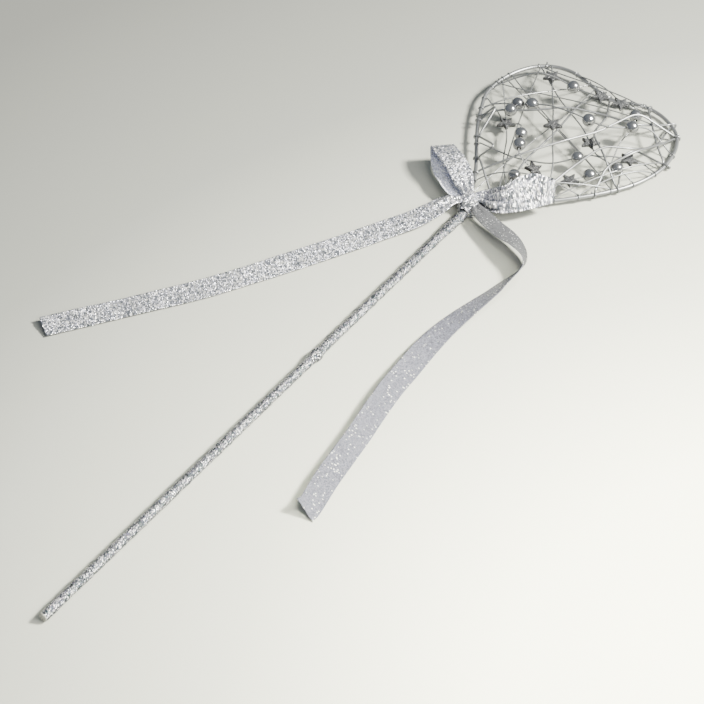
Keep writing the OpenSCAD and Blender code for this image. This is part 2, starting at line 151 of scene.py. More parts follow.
# the wire each bead or star is threaded on ("w" winding, "f" fine), and its place in plan
BEADS = [
    ("f6", 88.5, 3), ("f7", 65.7, 10.6), ("w1", 58, 17), ("f3", 44.4, 2.5), ("f3", 37.8, -1.2),
    ("f7", 69.6, -17), ("f5", 93, -27.5), ("f7", 79.3, -33.2), ("f8", 49, -24), ("w3", 24, -7),
    ("f5", 42, -36), ("f8", 51.8, -41), ("f7", 63.8, 17),
]
STARS = [
    ("f6", 92.8, -19.5), ("f6", 91.2, -10), ("f1", 89.8, 15.5), ("f2", 55, 17), ("f1", 60, -4),
    ("f4", 62, -22), ("f4", 63, -42), ("f5", 33, -32), ("f3", 30, -13),
]


def unit(a):
    return V(a, float) / max(np.linalg.norm(a), 1e-9)


def smooth(points, n):
    """Catmull-Rom through the points, n steps a span."""
    p = V(points, float)
    out = []
    for i in range(len(p) - 1):
        a, b, c, d = p[max(i - 1, 0)], p[i], p[i + 1], p[min(i + 2, len(p) - 1)]
        for k in range(n):
            t = k / n
            out.append(0.5 * (2 * b + (c - a) * t + (2 * a - 5 * b + 4 * c - d) * t * t
                              + (3 * b - a - 3 * c + d) * t ** 3))
    out.append(p[-1])
    return V(out)


FRAME_PATH = smooth(HEART, 5)


def turn(x, y, way, reach, r):
    """Points of a turn of wire round the frame: over the outside, under, and back up inside."""
    i = int(np.argmin(np.hypot(FRAME_PATH[:, 0] - x, FRAME_PATH[:, 1] - y)))
    i = min(max(i, 1), len(FRAME_PATH) - 2)
    p, t = FRAME_PATH[i], unit(FRAME_PATH[i + 1] - FRAME_PATH[i - 1])
    o = np.cross(t, [0, 0, 1])
    o = unit([o[0], o[1], 0])
    if (p - HEART_MID) @ o < 0:
        o = -o
    g = FRAME_R + r + TURN_GAP
    out = []
    for k in range(9):
        a = math.radians(150 - 45 * k)
        out.append(p + o * (g + reach * max(0, math.cos(a))) * math.cos(a)
                   + V([0, 0, g * math.sin(a)]) + t * way * (k / 8 - 0.5) * (2 * r + 0.5))
    return out


def wire(route, r):
    """The part's own polyline of a route, with its corners rounded."""
    p = []
    for e in route:
        p += [V(e, float)] if len(e) == 3 else turn(*e, r)
    out = [p[0]]
    for a, b, c in zip(p, p[1:], p[2:]):
        la, lc = np.linalg.norm(a - b), np.linalg.norm(c - b)
        if la < 1.6 and lc < 1.6:
            out.append(b)
            continue
        u = b + (a - b) / la * min(0.3 * la, CORNER)
        w = b + (c - b) / lc * min(0.3 * lc, CORNER)
        out += [u * (1 - t) ** 2 + b * 2 * t * (1 - t) + w * t * t for t in (0, 0.25, 0.5, 0.75, 1)]
    out.append(p[-1])
    return V(out)


PATHS = {f"w{i + 1}": wire(e, WIND_R) for i, e in enumerate(WINDINGS)}
PATHS.update({f"f{i + 1}": wire(e, FINE_R) for i, e in enumerate(FINES)})


def strand(a, b, high_a, high_b, bend):
    """A thin wire between two places of the frame, with a turn round it at both ends."""
    first, last = V(turn(*a, 1, 0, FINE_R)), V(turn(*b, 1, 0, FINE_R))
    p, q = first[-1], last[0]
    way = unit(q - p)
    aside = V([-way[1], way[0], 0]) * bend
    u, w = p + (q - p) * 0.3 + aside, p + (q - p) * 0.7 + aside
    u[2], w[2] = high_a, high_b
    t = np.linspace(0.04, 0.96, 30)[:, None]
    arc = p * (1 - t) ** 3 + 3 * u * t * (1 - t) ** 2 + 3 * w * t * t * (1 - t) + q * t ** 3
    return np.vstack([first, arc, last])


def closest(path, x, y):
    """Point of a path nearest to x, y in plan, and its direction there."""
    best = None
    for a, b in zip(path, path[1:]):
        d = (b - a)[:2]
        t = min(1, max(0, (V([x, y]) - a[:2]) @ d / max(d @ d, 1e-9)))
        e = np.linalg.norm(a[:2] + d * t - [x, y])
        if best is None or e < best[0]:
            best = (e, a * (1 - t) + b * t, unit(b - a))
    return best[1], best[2]


def spaced(path, step):
    """The polyline resampled at an even step."""
    s = np.r_[0, np.cumsum(np.linalg.norm(np.diff(path, axis=0), axis=1))]
    n = max(2, int(round(s[-1] / step)) + 1)
    q = np.linspace(0, s[-1], n)
    return np.stack([np.interp(q, s, path[:, k]) for k in range(3)], 1)


def soften(path, step, reach):
    """The polyline resampled and rounded, so that no corner shows."""
    p = spaced(path, step)
    n = int(math.ceil(3 * reach / step))
    kernel = np.exp(-0.5 * (np.arange(-n, n + 1) * step / reach) ** 2)
    kernel /= kernel.sum()
    before = p[:1] - (p[1:2] - p[:1]) * np.arange(n, 0, -1)[:, None]
    after = p[-1:] + (p[-1:] - p[-2:-1]) * np.arange(1, n + 1)[:, None]
    q = np.vstack([before, p, after])
    return np.stack([np.convolve(q[:, k], kernel, "valid") for k in range(3)], 1)


def carried(path):
    """Tangents and two normals carried along a path without twisting."""
    t = np.gradient(path, axis=0)
    t /= np.linalg.norm(t, axis=1)[:, None]
    m = np.zeros_like(t)
    seed = V([0, 0, 1.0]) if abs(t[0][2]) < 0.9 else V([1.0, 0, 0])
    for i in range(len(t)):
        seed = unit(seed - t[i] * (seed @ t[i]))
        m[i] = seed
    return t, m, np.cross(t, m)


# ---------------------------------------------------------------- meshes

def new_object(name, points, faces, material, uvs=None, slots=None):
    """A smooth-shaded mesh object in the row's frame from points in the neck's frame, in mm."""
    mesh = bpy.data.meshes.new(name)
    mesh.from_pydata(((V(points, float) + MOVE) * MM).tolist(), [], [list(f) for f in faces])
    if uvs is not None:
        layer = mesh.uv_layers.new(name="flat")
        index = np.zeros(len(mesh.loops), np.int32)
        mesh.loops.foreach_get("vertex_index", index)
        layer.data.foreach_set("uv", V(uvs, np.float32)[index].ravel())
    mesh.polygons.foreach_set("use_smooth", [True] * len(mesh.polygons))
    for m in material if isinstance(material, (list, tuple)) else [material]:
        mesh.materials.append(m)
    if slots is not None:
        mesh.polygons.foreach_set("material_index", slots)
    mesh.update()
    obj = bpy.data.objects.new(name, mesh)
    bpy.context.scene.collection.objects.link(obj)
    return obj


def tube_mesh(path, radius, sides=10, round_ends=True):
    """Points, faces and uvs of a round tube; radius is a number or one for each point."""
    r = np.broadcast_to(V(radius, float), (len(path),)).copy()
    if round_ends:
        t = np.gradient(path, axis=0)
        t /= np.linalg.norm(t, axis=1)[:, None]
        ends = [(0, -1), (len(path) - 1, 1)]
        caps = []
        for i, way in ends:
            caps.append([(path[i] + t[i] * way * r[i] * math.sin(a), r[i] * math.cos(a))
                         for a in (0.55, 1.05, 1.45)])
        path = np.vstack([[c[0] for c in caps[0][::-1]], path, [c[0] for c in caps[1]]])
        r = np.r_[[c[1] for c in caps[0][::-1]], r, [c[1] for c in caps[1]]]
    _, m, b = carried(path)
    angle = np.linspace(0, 2 * math.pi, sides, endpoint=False)
    ring = (path[:, None] + r[:, None, None] * (m[:, None] * np.cos(angle)[None, :, None]
                                                + b[:, None] * np.sin(angle)[None, :, None]))
    n = len(path)
    faces = [(i * sides + k, i * sides + (k + 1) % sides, (i + 1) * sides + (k + 1) % sides,
              (i + 1) * sides + k) for i in range(n - 1) for k in range(sides)]
    faces += [tuple(range(sides))[::-1], tuple((n - 1) * sides + k for k in range(sides))]
    s = np.r_[0, np.cumsum(np.linalg.norm(np.diff(path, axis=0), axis=1))]
    uv = np.stack(np.broadcast_arrays(np.arange(sides)[None] / sides, s[:, None] / 10), 2)
    return ring.reshape(-1, 3), faces, uv.reshape(-1, 2)


def joined(parts):
    """Several (points, faces, uvs) as one."""
    points, faces, uvs, n = [], [], [], 0
    for p, f, u in parts:
        points.append(p)
        uvs.append(u)
        faces += [tuple(i + n for i in face) for face in f]
        n += len(p)
    return np.vstack(points), faces, np.vstack(uvs)


def sheet_mesh(grid, thick, along, across):
    """A closed thin sheet round the grid of points: along and across are its flat coordinates
    in mm. Returns points, faces, uvs and slots, 0 on the side of du x dv and 1 on the other."""
    n, m = grid.shape[:2]
    du, dv = np.gradient(grid, axis=0), np.gradient(grid, axis=1)
    h = np.cross(du, dv)
    h /= np.maximum(np.linalg.norm(h, axis=2), 1e-9)[:, :, None]
    t = np.broadcast_to(V(thick, float), (n, m))[:, :, None]
    points = np.vstack([(grid + h * t / 2).reshape(-1, 3), (grid - h * t / 2).reshape(-1, 3)])
    uv = np.stack(np.broadcast_arrays(across / 10, along / 10), 2).reshape(-1, 2)
    q = n * m
    faces, slots = [], []
    for i in range(n - 1):
        for j in range(m - 1):
            a, b, c, d = i * m + j, (i + 1) * m + j, (i + 1) * m + j + 1, i * m + j + 1
            faces += [(a, b, c, d), (q + d, q + c, q + b, q + a)]
            slots += [0, 1]
    rim = ([(0, j) for j in range(m)] + [(i, m - 1) for i in range(1, n)]
           + [(n - 1, j) for j in range(m - 2, -1, -1)] + [(i, 0) for i in range(n - 2, 0, -1)])
    for (i, j), (k, l) in zip(rim, rim[1:] + rim[:1]):
        a, b = i * m + j, k * m + l
        faces.append((a, b, q + b, q + a))
        slots.append(0)
    return points, faces, np.vstack([uv, uv]), slots


def wave(x, y, z=0.0):
    """Smooth noise from about -1 to 1."""
    return noise.noise(Vector((x, y, z)))


def clamped(value):
    """The value, but no less than 0 and no more than 1."""
    return max(0.0, min(1.0, value))


# ---------------------------------------------------------------- materials

class Nodes:
    """Short words for building a node tree."""

    def __init__(self, name):
        self.material = bpy.data.materials.new(name)
        self.material.use_nodes = True
        self.tree = self.material.node_tree
        self.shader = self.tree.nodes["Principled BSDF"]

    def set(self, **values):
        for key, value in values.items():
            socket = self.shader.inputs[NAMED.get(key, key.capitalize())]
            if hasattr(value, "is_output"):
                self.tree.links.new(value, socket)
            else:
                socket.default_value = value

    def node(self, kind, inputs=(), **settings):
        n = self.tree.nodes.new(kind)
        for key, value in settings.items():
            setattr(n, key, value)
        for key, value in dict(inputs).items():
            if hasattr(value, "is_output"):
                self.tree.links.new(value, n.inputs[key])
            else:
                n.inputs[key].default_value = value
        return n

    def math(self, operation, *values):
        return self.node("ShaderNodeMath", dict(enumerate(values)), operation=operation).outputs[0]

    def vector(self, operation, *values):
        n = self.node("ShaderNodeVectorMath", dict(enumerate(values)), operation=operation)
        return n.outputs[0]

    def ramp(self, value, stops, interpolation="LINEAR"):
        n = self.node("ShaderNodeValToRGB", {0: value})
        n.color_ramp.interpolation = interpolation
        while len(n.color_ramp.elements) < len(stops):
            n.color_ramp.elements.new(0.5)
        for e, (at, colour) in zip(n.color_ramp.elements, stops):
            e.position = at
            e.color = (*colour, 1) if hasattr(colour, "__len__") else (colour,) * 3 + (1,)
        return n.outputs["Color"]

    def mix(self, factor, a, b):
        n = self.node("ShaderNodeMix", data_type="RGBA")
        for i, value in zip((0, 6, 7), (factor, a, b)):
            if hasattr(value, "is_output"):
                self.tree.links.new(value, n.inputs[i])
            else:
                n.inputs[i].default_value = value
        return n.outputs[2]

    def span(self, value, low, high):
        """A 0 to 1 value carried to low to high."""
        return self.node("ShaderNodeMapRange", {0: value, 3: low, 4: high}).outputs[0]

    def uv(self):
        return self.node("ShaderNodeUVMap", uv_map="flat").outputs[0]

    def place(self):
        return self.node("ShaderNodeTexCoord").outputs["Object"]

    def noise(self, vector, scale, detail=2.0, roughness=0.5):
        n = self.node("ShaderNodeTexNoise", {"Vector": vector, "Scale": scale, "Detail": detail,
                                             "Roughness": roughness})
        return n.outputs[0]

    def bump(self, height, strength, distance, normal=None):
        inputs = {"Height": height, "Strength": strength, "Distance": distance}
        if normal is not None:
            inputs["Normal"] = normal
        return self.node("ShaderNodeBump", inputs).outputs[0]

    def facets(self, rand, spread):
        """The surface's normal tipped at random, one way for each cell."""
        tip = self.vector("MULTIPLY", self.vector("SUBTRACT", rand, (0.5, 0.5, 0.5)), (spread,) * 3)
        n = self.node("ShaderNodeNewGeometry").outputs["Normal"]
        return self.vector("NORMALIZE", self.vector("ADD", n, tip))


NAMED = {"base": "Base Color", "specular": "Specular IOR Level", "subsurface": "Subsurface Weight"}


def lurex(name, dark, pale, bright, metal, rough, tip, cell, plain=0.0, gloss=0.5):
    """Metallic ribbon: weft threads of foil across the width, each lying at its own tilt. cell is
    the length and the width of a thread's visible stretch in mm, plain the share of dull ones."""
    k = Nodes(name)
    uv = k.uv()
    grid = k.vector("MULTIPLY", uv, (10 / cell[0], 10 / cell[1], 1.0))
    part = k.node("ShaderNodeSeparateXYZ", {0: grid})
    row = k.math("FLOOR", part.outputs[1])
    shift = k.node("ShaderNodeTexWhiteNoise", {"W": row}, noise_dimensions="1D").outputs[0]
    col = k.math("FLOOR", k.math("ADD", part.outputs[0], shift))
    at = k.node("ShaderNodeCombineXYZ", {0: col, 1: row, 2: 0.0}).outputs[0]
    rand = k.node("ShaderNodeTexWhiteNoise", {"Vector": at}, noise_dimensions="3D")
    value, colour = rand.outputs[0], rand.outputs[1]
    other = k.node("ShaderNodeTexWhiteNoise", {"Vector": k.vector("ADD", at, (7.3, 3.1, 5.0))},
                   noise_dimensions="3D").outputs[0]
    tint = k.ramp(value, [(0, dark), (0.6, pale), (0.9, bright)])
    tint = k.mix(0.03, tint, colour)
    drift = k.noise(uv, 1.6, 2.0)
    tint = k.mix(k.span(drift, 0.0, 0.25), tint, (*[c * 0.8 for c in pale], 1))
    shine = metal
    if plain:  # mostly dull thread, with single bright ones
        spark = k.math("GREATER_THAN", other, plain)
        shine = k.math("MULTIPLY", spark, metal)
        tint = k.mix(spark, k.ramp(value, [(0, dark), (1, pale)]), (*bright, 1))
    # rounded threads across the width, with finer warp threads over them
    weft = k.math("ABSOLUTE", k.math("SINE", k.math("MULTIPLY", part.outputs[1], math.pi)))
    warp = k.math("SINE", k.math("MULTIPLY", part.outputs[0], 2 * math.pi * cell[0] / 0.55))
    height = k.math("ADD", weft, k.math("MULTIPLY", warp, 0.3))
    normal = k.bump(height, 0.55, 0.00012, k.facets(colour, tip))
    k.set(base=tint, metallic=shine,
          roughness=k.span(other, rough[0], rough[1]), normal=normal, specular=gloss)
    return k.material


def steel(name, base, rough):
    """Drawn wire, with dull spots and fine lines along it."""
    k = Nodes(name)
    at = k.place()
    spots = k.noise(at, 900, 3.0, 0.6)
    slow = k.noise(at, 140, 2.0)
    tint = k.mix(k.span(slow, 0.0, 1.0), (*base, 1), (*[c * 0.72 for c in base], 1))
    tint = k.mix(k.ramp(spots, [(0.55, 0.0), (0.75, 0.5)]), tint, (0.22, 0.22, 0.24, 1))
    lines = k.noise(k.vector("MULTIPLY", k.uv(), (40.0, 1.5, 1.0)), 6.0, 3.0)
    height = k.math("ADD", lines, k.math("MULTIPLY", spots, 0.5))
    k.set(base=tint, metallic=0.8, roughness=k.span(k.noise(at, 320, 2.0), rough[0], rough[1]),
          normal=k.bump(height, 0.25, 0.00004))
    return k.material


def mirror(name, base, rough):
    """Mirror coating, worn dull in spots."""
    k = Nodes(name)
    at = k.place()
    worn = k.noise(at, 600, 4.0, 0.6)
    tint = k.mix(k.ramp(worn, [(0.5, 0.0), (0.72, 0.55)]),
                 (*base, 1), (*[c * 0.6 for c in base], 1))
    k.set(base=tint, metallic=0.94, roughness=k.span(worn, rough[0], rough[1]),
          normal=k.bump(k.noise(at, 520, 2.0), 0.5, 0.0003))
    return k.material


def glitter(name, dark, pale, tip, cells=4200.0):
    """Fine glitter: small flakes at random tilts in a clear binder."""
    k = Nodes(name)
    at = k.place()
    flakes = k.node("ShaderNodeTexVoronoi", {"Vector": at, "Scale": cells})
    rand = flakes.outputs["Color"]
    one = k.node("ShaderNodeSeparateXYZ", {0: rand})
    tint = k.ramp(one.outputs[0], [(0, dark), (0.92, pale), (1, (0.4, 0.4, 0.42))])
    gap = k.ramp(flakes.outputs["Distance"], [(0.3, 0.0), (0.75, 1.0)])
    tint = k.mix(k.math("MULTIPLY", gap, 0.6), tint, (*[c * 0.5 for c in dark], 1))
    k.set(base=tint, metallic=k.ramp(one.outputs[1], [(0.0, 0.0), (0.88, 0.9)], "CONSTANT"),
          roughness=k.span(one.outputs[2], 0.3, 0.6), normal=k.facets(rand, tip), specular=0.2)
    return k.material


def glue_finish(name):
    """Mottled hot glue that lets a little light in."""
    k = Nodes(name)
    at = k.place()
    blots = k.noise(at, 1300, 4.0, 0.65)
    fine = k.noise(at, 4200, 2.0)
    tint = k.ramp(blots, [(0.36, (0.13, 0.125, 0.115)), (0.5, (0.30, 0.29, 0.26)),
                          (0.66, (0.50, 0.49, 0.46))])
    tint = k.mix(k.ramp(fine, [(0.58, 0.0), (0.68, 0.6)]), tint, (0.6, 0.6, 0.58, 1))
    k.set(base=tint, roughness=k.span(blots, 0.65, 0.3), specular=0.5, subsurface=0.15,
          normal=k.bump(blots, 0.7, 0.0004))
    k.shader.inputs["Subsurface Radius"].default_value = (0.002, 0.0018, 0.0015)
    k.shader.inputs["Subsurface Scale"].default_value = 0.4
    return k.material


# painted light: the table's colour is palest at this place on the floor, as the lamp's pool of
# light, and painted darker with the distance from it, in metres
FLOOR_PAINTED_LIGHT_AT = (-0.060, -0.313, 0.0)
FLOOR_NEAR, FLOOR_FAR = 0.05, 0.55
FLOOR_PAINTED_LIGHT_TINTS = [
    (0, (0.90, 0.90, 0.76)), (0.2, (0.86, 0.86, 0.73)), (0.3, (0.68, 0.68, 0.59)),
    (0.4, (0.52, 0.525, 0.465)), (0.5, (0.445, 0.45, 0.405)), (0.6, (0.37, 0.375, 0.345)),
    (0.72, (0.25, 0.255, 0.24)), (1, (0.17, 0.172, 0.165)),
]


def floor_painted_light_pool():
    """A pale plain table with a painted pool of light: its colour is palest at the corner nearest
    the lamp and is painted darker away from it, as the light falls off.
    """
    k = Nodes("table")
    at = k.place()
    far = k.node("ShaderNodeVectorMath", {0: at, 1: FLOOR_PAINTED_LIGHT_AT}, operation="DISTANCE").outputs[1]
    far = k.node("ShaderNodeMapRange", {0: far, 1: FLOOR_NEAR, 2: FLOOR_FAR}).outputs[0]
    # painted light: the colour falls off with the distance from the palest place, standing in for
    # the lamp's falloff
    tint = k.ramp(far, FLOOR_PAINTED_LIGHT_TINTS)
    tint = k.mix(k.span(k.noise(at, 3.0, 2.0), 0.0, 0.06), tint, (0.7, 0.7, 0.68, 1))
    k.set(base=tint, roughness=0.6, specular=0.2,
          normal=k.bump(k.noise(at, 900, 2.0), 0.03, 0.0002))
    return k.material


# ribbon: FACE on the left loop, with a paler copy of it on the loop's other side as painted light
# that lifts its shaded part; STREAKED on the right one, FACE on the left tail and the knot, BACK
# on the right tail's run and SATIN on its arch, WOUND on the stem
FACE = lurex("ribbon_face", (0.22, 0.224, 0.262), (0.36, 0.366, 0.43), (1.0, 1.0, 1.0), 0.7,
             (0.18, 0.45), 1.3, cell=(0.6, 0.5))
STREAKED = lurex("ribbon_streaked", (0.17, 0.173, 0.21), (0.31, 0.314, 0.37), (1.0, 1.0, 1.0), 0.7,
                 (0.25, 0.5), 1.0, cell=(1.1, 0.45))
# painted light: a paler, duller copy of FACE for the left loop's other side, lifting its shaded
# part
FACE_PAINTED_LIT = lurex("ribbon_face_painted_lit", (0.42, 0.43, 0.53), (0.60, 0.61, 0.73), (1.0, 1.0, 1.0), 0.7,
              (0.3, 0.5), 1.0, cell=(0.6, 0.5), plain=0.8)
WOUND = lurex("ribbon_wound", (0.04, 0.042, 0.053), (0.075, 0.078, 0.097), (0.75, 0.75, 0.78), 0.8,
              (0.22, 0.45), 0.6, cell=(0.6, 0.5))
BACK = lurex("ribbon_back", (0.085, 0.087, 0.114), (0.145, 0.147, 0.186), (0.8, 0.8, 0.74), 0.9,
             (0.3, 0.5), 0.9, cell=(0.5, 0.42), plain=0.972, gloss=0.3)
SATIN = lurex("ribbon_satin", (0.062, 0.063, 0.071), (0.076, 0.077, 0.086), (0.45, 0.45, 0.47), 0.9,
              (0.4, 0.6), 0.7, cell=(0.45, 0.35), plain=0.96, gloss=0.15)
# metals, glue and rod
STEEL = steel("bright_wire", (0.27, 0.275, 0.29), (0.28, 0.46))
MIRROR = mirror("mirror_bead", (0.34, 0.34, 0.355), (0.08, 0.32))
SMOKED = mirror("smoked_bead", (0.24, 0.24, 0.26), (0.08, 0.32))
STARRY = glitter("silver_glitter", (0.034, 0.035, 0.039), (0.066, 0.067, 0.074), 0.5)
DARK_STARRY = glitter("dark_glitter", (0.016, 0.016, 0.019), (0.028, 0.028, 0.032), 0.5)
GLUE = glue_finish("hot_glue")
ROD = Nodes("wood_rod")
GRAIN = ROD.noise(ROD.vector("MULTIPLY", ROD.place(), (40.0, 900.0, 900.0)), 1.0, 3.0)
ROD.set(base=ROD.ramp(GRAIN, [(0.3, (0.55, 0.42, 0.28)), (0.7, (0.72, 0.58, 0.40))]),
        roughness=0.6)


# ---------------------------------------------------------------- wires, beads and stars

WIRE_STEP = 0.35  # between the rings of a wound or fine wire


def twisted(path):
    """Two thin strands twisted together along a path of even step."""
    _, m, b = carried(path)
    s = np.arange(len(path)) * WIRE_STEP
    parts = []
    for way in (0, math.pi):
        a = 2 * math.pi * s / TWIST_PITCH + way
        off = TWIST_OFF * (m * np.cos(a)[:, None] + b * np.sin(a)[:, None])
        parts.append(tube_mesh(path + off, TWIST_R, 7))
    return joined(parts)


def make_wires():
    """The frame, the windings, the fine wires with the thin strands, and the binding."""
    p, f, u = tube_mesh(soften(FRAME_PATH, 0.8, 1.2), SHOWN_FRAME, 16)
    o = new_object("heart_wire", p, f, STEEL, u)
    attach(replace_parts(o, "heart_frame"), "wand")
    for i in range(len(WINDINGS)):
        path = soften(PATHS[f"w{i + 1}"], WIRE_STEP, 0.7)
        p, f, u = tube_mesh(path, SHOWN_WIND, 10)
        o = new_object(f"winding_wire_{i + 1}", p, f, STEEL, u)
        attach(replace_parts(o, f"winding_{i + 1}"), "wand")
    for i in range(len(FINES)):
        path = soften(PATHS[f"f{i + 1}"], WIRE_STEP, 0.6)
        p, f, u = twisted(path) if i in TWISTED else tube_mesh(path, SHOWN_FINE, 8)
        for ends in STRANDS[i::len(FINES)]:
            thin = tube_mesh(soften(strand(*ends), WIRE_STEP, 0.5), STRAND_R, 7)
            p, f, u = joined([(p, f, u), thin])
        o = new_object(f"fine_wire_{i + 1}", p, f, STEEL, u)
        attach(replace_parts(o, f"bead_wire_{i + 1}"), "wand")
    k = np.arange(0, 361) / 3.6
    a = np.radians(18 * k)  # five turns round the neck
    coil = np.stack([-4.3 + 0.036 * k, 3.2 * np.cos(a), 2.5 + 1.55 * np.sin(a)], 1)
    p, f, u = tube_mesh(coil, FINE_R, 8)
    o = new_object("binding_wire", p, f, STEEL, u)
    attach(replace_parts(o, "neck_binding"), "wand")


def axes_along(d):
    """Local X along d, local Z as near up as it goes, as the part's along() has it."""
    x = unit(d)
    y = unit([-x[1], x[0], 0])
    return np.stack([x, y, np.cross(x, y)], 1)


def bead_points(outer, bore, lip=0.14, sides=56, rings=22):
    """A turned bead on the X axis: the ball, rounded lips and the straight bore."""
    a0 = math.asin((bore + lip) / outer)
    profile = [(outer * math.cos(a), outer * math.sin(a))
               for a in np.linspace(a0, math.pi - a0, rings)]
    end = profile[0][0]
    lips = [(end - lip * (1 - math.cos(t)) * 0.9, bore + lip * (1 - math.sin(t)))
            for t in (0.5, 1.0, math.pi / 2)]
    profile = profile + [(-x, r) for x, r in lips] + [(0.0, bore)] + lips[::-1]
    n = len(profile)
    ang = np.linspace(0, 2 * math.pi, sides, endpoint=False)
    p = V([[x, r * math.cos(t), r * math.sin(t)] for x, r in profile for t in ang])
    faces = [(i * sides + k, i * sides + (k + 1) % sides, (i + 1) % n * sides + (k + 1) % sides,
              (i + 1) % n * sides + k) for i in range(n) for k in range(sides)]
    return p, faces


BEAD_R, BEAD_BORE = 3.0, 0.8
DARK_BEAD, DARK_STAR = 13, 9


def make_beads():
    p, faces = bead_points(BEAD_R, BEAD_BORE)
    for i, (w, x, y) in enumerate(BEADS, 1):
        at, d = closest(PATHS[w], x, y)
        dark = i == DARK_BEAD
        o = new_object(f"mirror_bead_{i:02d}", p @ axes_along(d).T + at, faces,
                       SMOKED if dark else MIRROR)
        name = f"bead_{i:02d}"
        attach(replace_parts(o, name), name)


STAR_R, STAR_DENT, STAR_HALF, STAR_BORE = 4.8, 4.8 * 0.42, 1.0, 0.6
# the star's layers, as the share of its outline and of its half thickness
STAR_LAYERS = [(0.0, 1), (0.45, 1), (0.80, 0.97), (0.93, 0.84), (0.985, 0.6), (1.0, 0.25)]


def star_outline(corner=0.35, steps=4):
    """A five-point star with its corners rounded, the tips over twice as much as the dents."""
    raw = [V([math.cos(math.radians(36 * k)), math.sin(math.radians(36 * k))])
           * (STAR_R if k % 2 == 0 else STAR_DENT) for k in range(10)]
    out = []
    for k in range(10):
        a, b, c = raw[k - 1], raw[k], raw[(k + 1) % 10]
        size = corner * (1.6 if k % 2 == 0 else 0.8)
        u = b + (a - b) / np.linalg.norm(a - b) * size
        w = b + (c - b) / np.linalg.norm(c - b) * size
        out += [u * (1 - t) ** 2 + b * 2 * t * (1 - t) + w * t * t
                for t in np.linspace(0, 1, steps + 1)]
    return V(out)


def star_mesh():
    """A flat star with soft edges and slightly raised middle, round the origin."""
    levels = [(s, STAR_HALF * z) for s, z in STAR_LAYERS]
    levels += [(s, -z) for s, z in levels[::-1]]
    outline = star_outline()
    n = len(outline)
    points = [V([0, 0, STAR_HALF])]
    for s, z in levels[1:-1]:
        points += [V([q[0] * s, q[1] * s, z]) for q in outline]
    points.append(V([0, 0, -STAR_HALF]))
    faces = [(0, 1 + k, 1 + (k + 1) % n) for k in range(n)]
    for i in range(len(levels) - 3):
        faces += [(1 + i * n + k, 1 + (i + 1) * n + k, 1 + (i + 1) * n + (k + 1) % n,
                   1 + i * n + (k + 1) % n) for k in range(n)]
    last = 1 + (len(levels) - 3) * n
    faces += [(last + n, last + (k + 1) % n, last + k) for k in range(n)]
    return V(points), faces


def make_stars():
    """Each star is bored along the wire it is threaded on."""
    p, faces = star_mesh()
    for i, (w, x, y) in enumerate(STARS, 1):
        at, d = closest(PATHS[w], x, y)
        dark = i == DARK_STAR
        o = new_object(f"glitter_star_{i:02d}", p @ axes_along(d).T + at, faces,
                       DARK_STARRY if dark else STARRY)
        hole, hole_faces, _ = tube_mesh(V([at - d * 7, at, at + d * 7]), STAR_BORE, 20, False)
        drill = new_object("drill", hole, hole_faces, STEEL)
        cut = o.modifiers.new("bore", "BOOLEAN")
        cut.operation, cut.object, cut.solver = "DIFFERENCE", drill, "EXACT"
        bpy.context.view_layer.update()
        bored = o.evaluated_get(bpy.context.evaluated_depsgraph_get())
        done = bpy.data.meshes.new_from_object(bored)
        o.modifiers.clear()
        o.data = done
        bpy.data.objects.remove(drill)
        name = f"star_{i:02d}"
        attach(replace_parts(o, name), name)


# ---------------------------------------------------------------- ribbon

WIDTH = 10.0
THICK = 0.22
SELVAGE = 0.93  # the share of half the width where its thicker edges begin
RIBBON_STEP, RIBBON_ACROSS = 0.5, 24  # mm between the mesh's rows, and its faces across


def ribbon(name, rows, node, finish, pleats, seed, frayed=None, ripple=0.25, blend=None):
    """A ribbon along rows of (point, width direction times its share of the width). pleats(s, u) is
    the height of its gathers in mm at s mm along and u from -1 to 1 across."""
    centre = smooth([r[:3] for r in rows], 12)
    side = smooth([r[3:] for r in rows], 12)
    s = np.r_[0, np.cumsum(np.linalg.norm(np.diff(centre, axis=0), axis=1))]
    n = int(s[-1] / RIBBON_STEP) + 1
    q = np.linspace(0, s[-1], n)
    centre = np.stack([np.interp(q, s, centre[:, k]) for k in range(3)], 1)
    side = np.stack([np.interp(q, s, side[:, k]) for k in range(3)], 1)
    tangent = np.gradient(centre, axis=0)
    tangent /= np.linalg.norm(tangent, axis=1)[:, None]
    up = np.cross(tangent, side)
    up /= np.linalg.norm(up, axis=1)[:, None]
    u = np.linspace(-1, 1, RIBBON_ACROSS + 1)
    grid = np.zeros((n, RIBBON_ACROSS + 1, 3))
    for i in range(n):
        for j, x in enumerate(u):
            lift = ripple * wave(q[i] / 14, x * 0.8, seed)
            lift += ripple * 0.4 * wave(q[i] / 4, x * 2, seed + 5)
            lift += pleats(q[i], x)
            edge = 0.07 * math.sin(q[i] * 2 * math.pi / 0.9) if abs(x) == 1 else 0.0
            grid[i, j] = centre[i] + side[i] * (WIDTH / 2) * (x + edge * 0.2) + up[i] * lift
    if frayed is not None:
        frayed(grid, q, u)
    thick = THICK * (1 + 0.5 * (np.abs(u) > SELVAGE))[None, :]
    p, f, uv, slots = sheet_mesh(grid, thick, q[:, None] + seed * 31, (u[None, :] + 1) * WIDTH / 2)
    o = new_object(name, p, f, finish, uv, slots)
    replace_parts(o, node)
    if blend:
        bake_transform(o)
    else:
        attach(o, "wand")


def gathers(start, length, waves, height, phase=0.0, both=None):
    """Pleats that fade out over length mm from start, and come back over the last length mm
    before both, if it is given."""
    def shape(s, u):
        fade = max(0.0, 1 - max(0, s - start) / length)
        if both is not None:
            fade = max(fade, max(0.0, 1 - max(0, both - s) / length))
        fade = fade * fade * (3 - 2 * fade)
        return height * fade * math.cos(math.pi * waves * u + phase + 0.5 * math.sin(3 * u))
    return shape


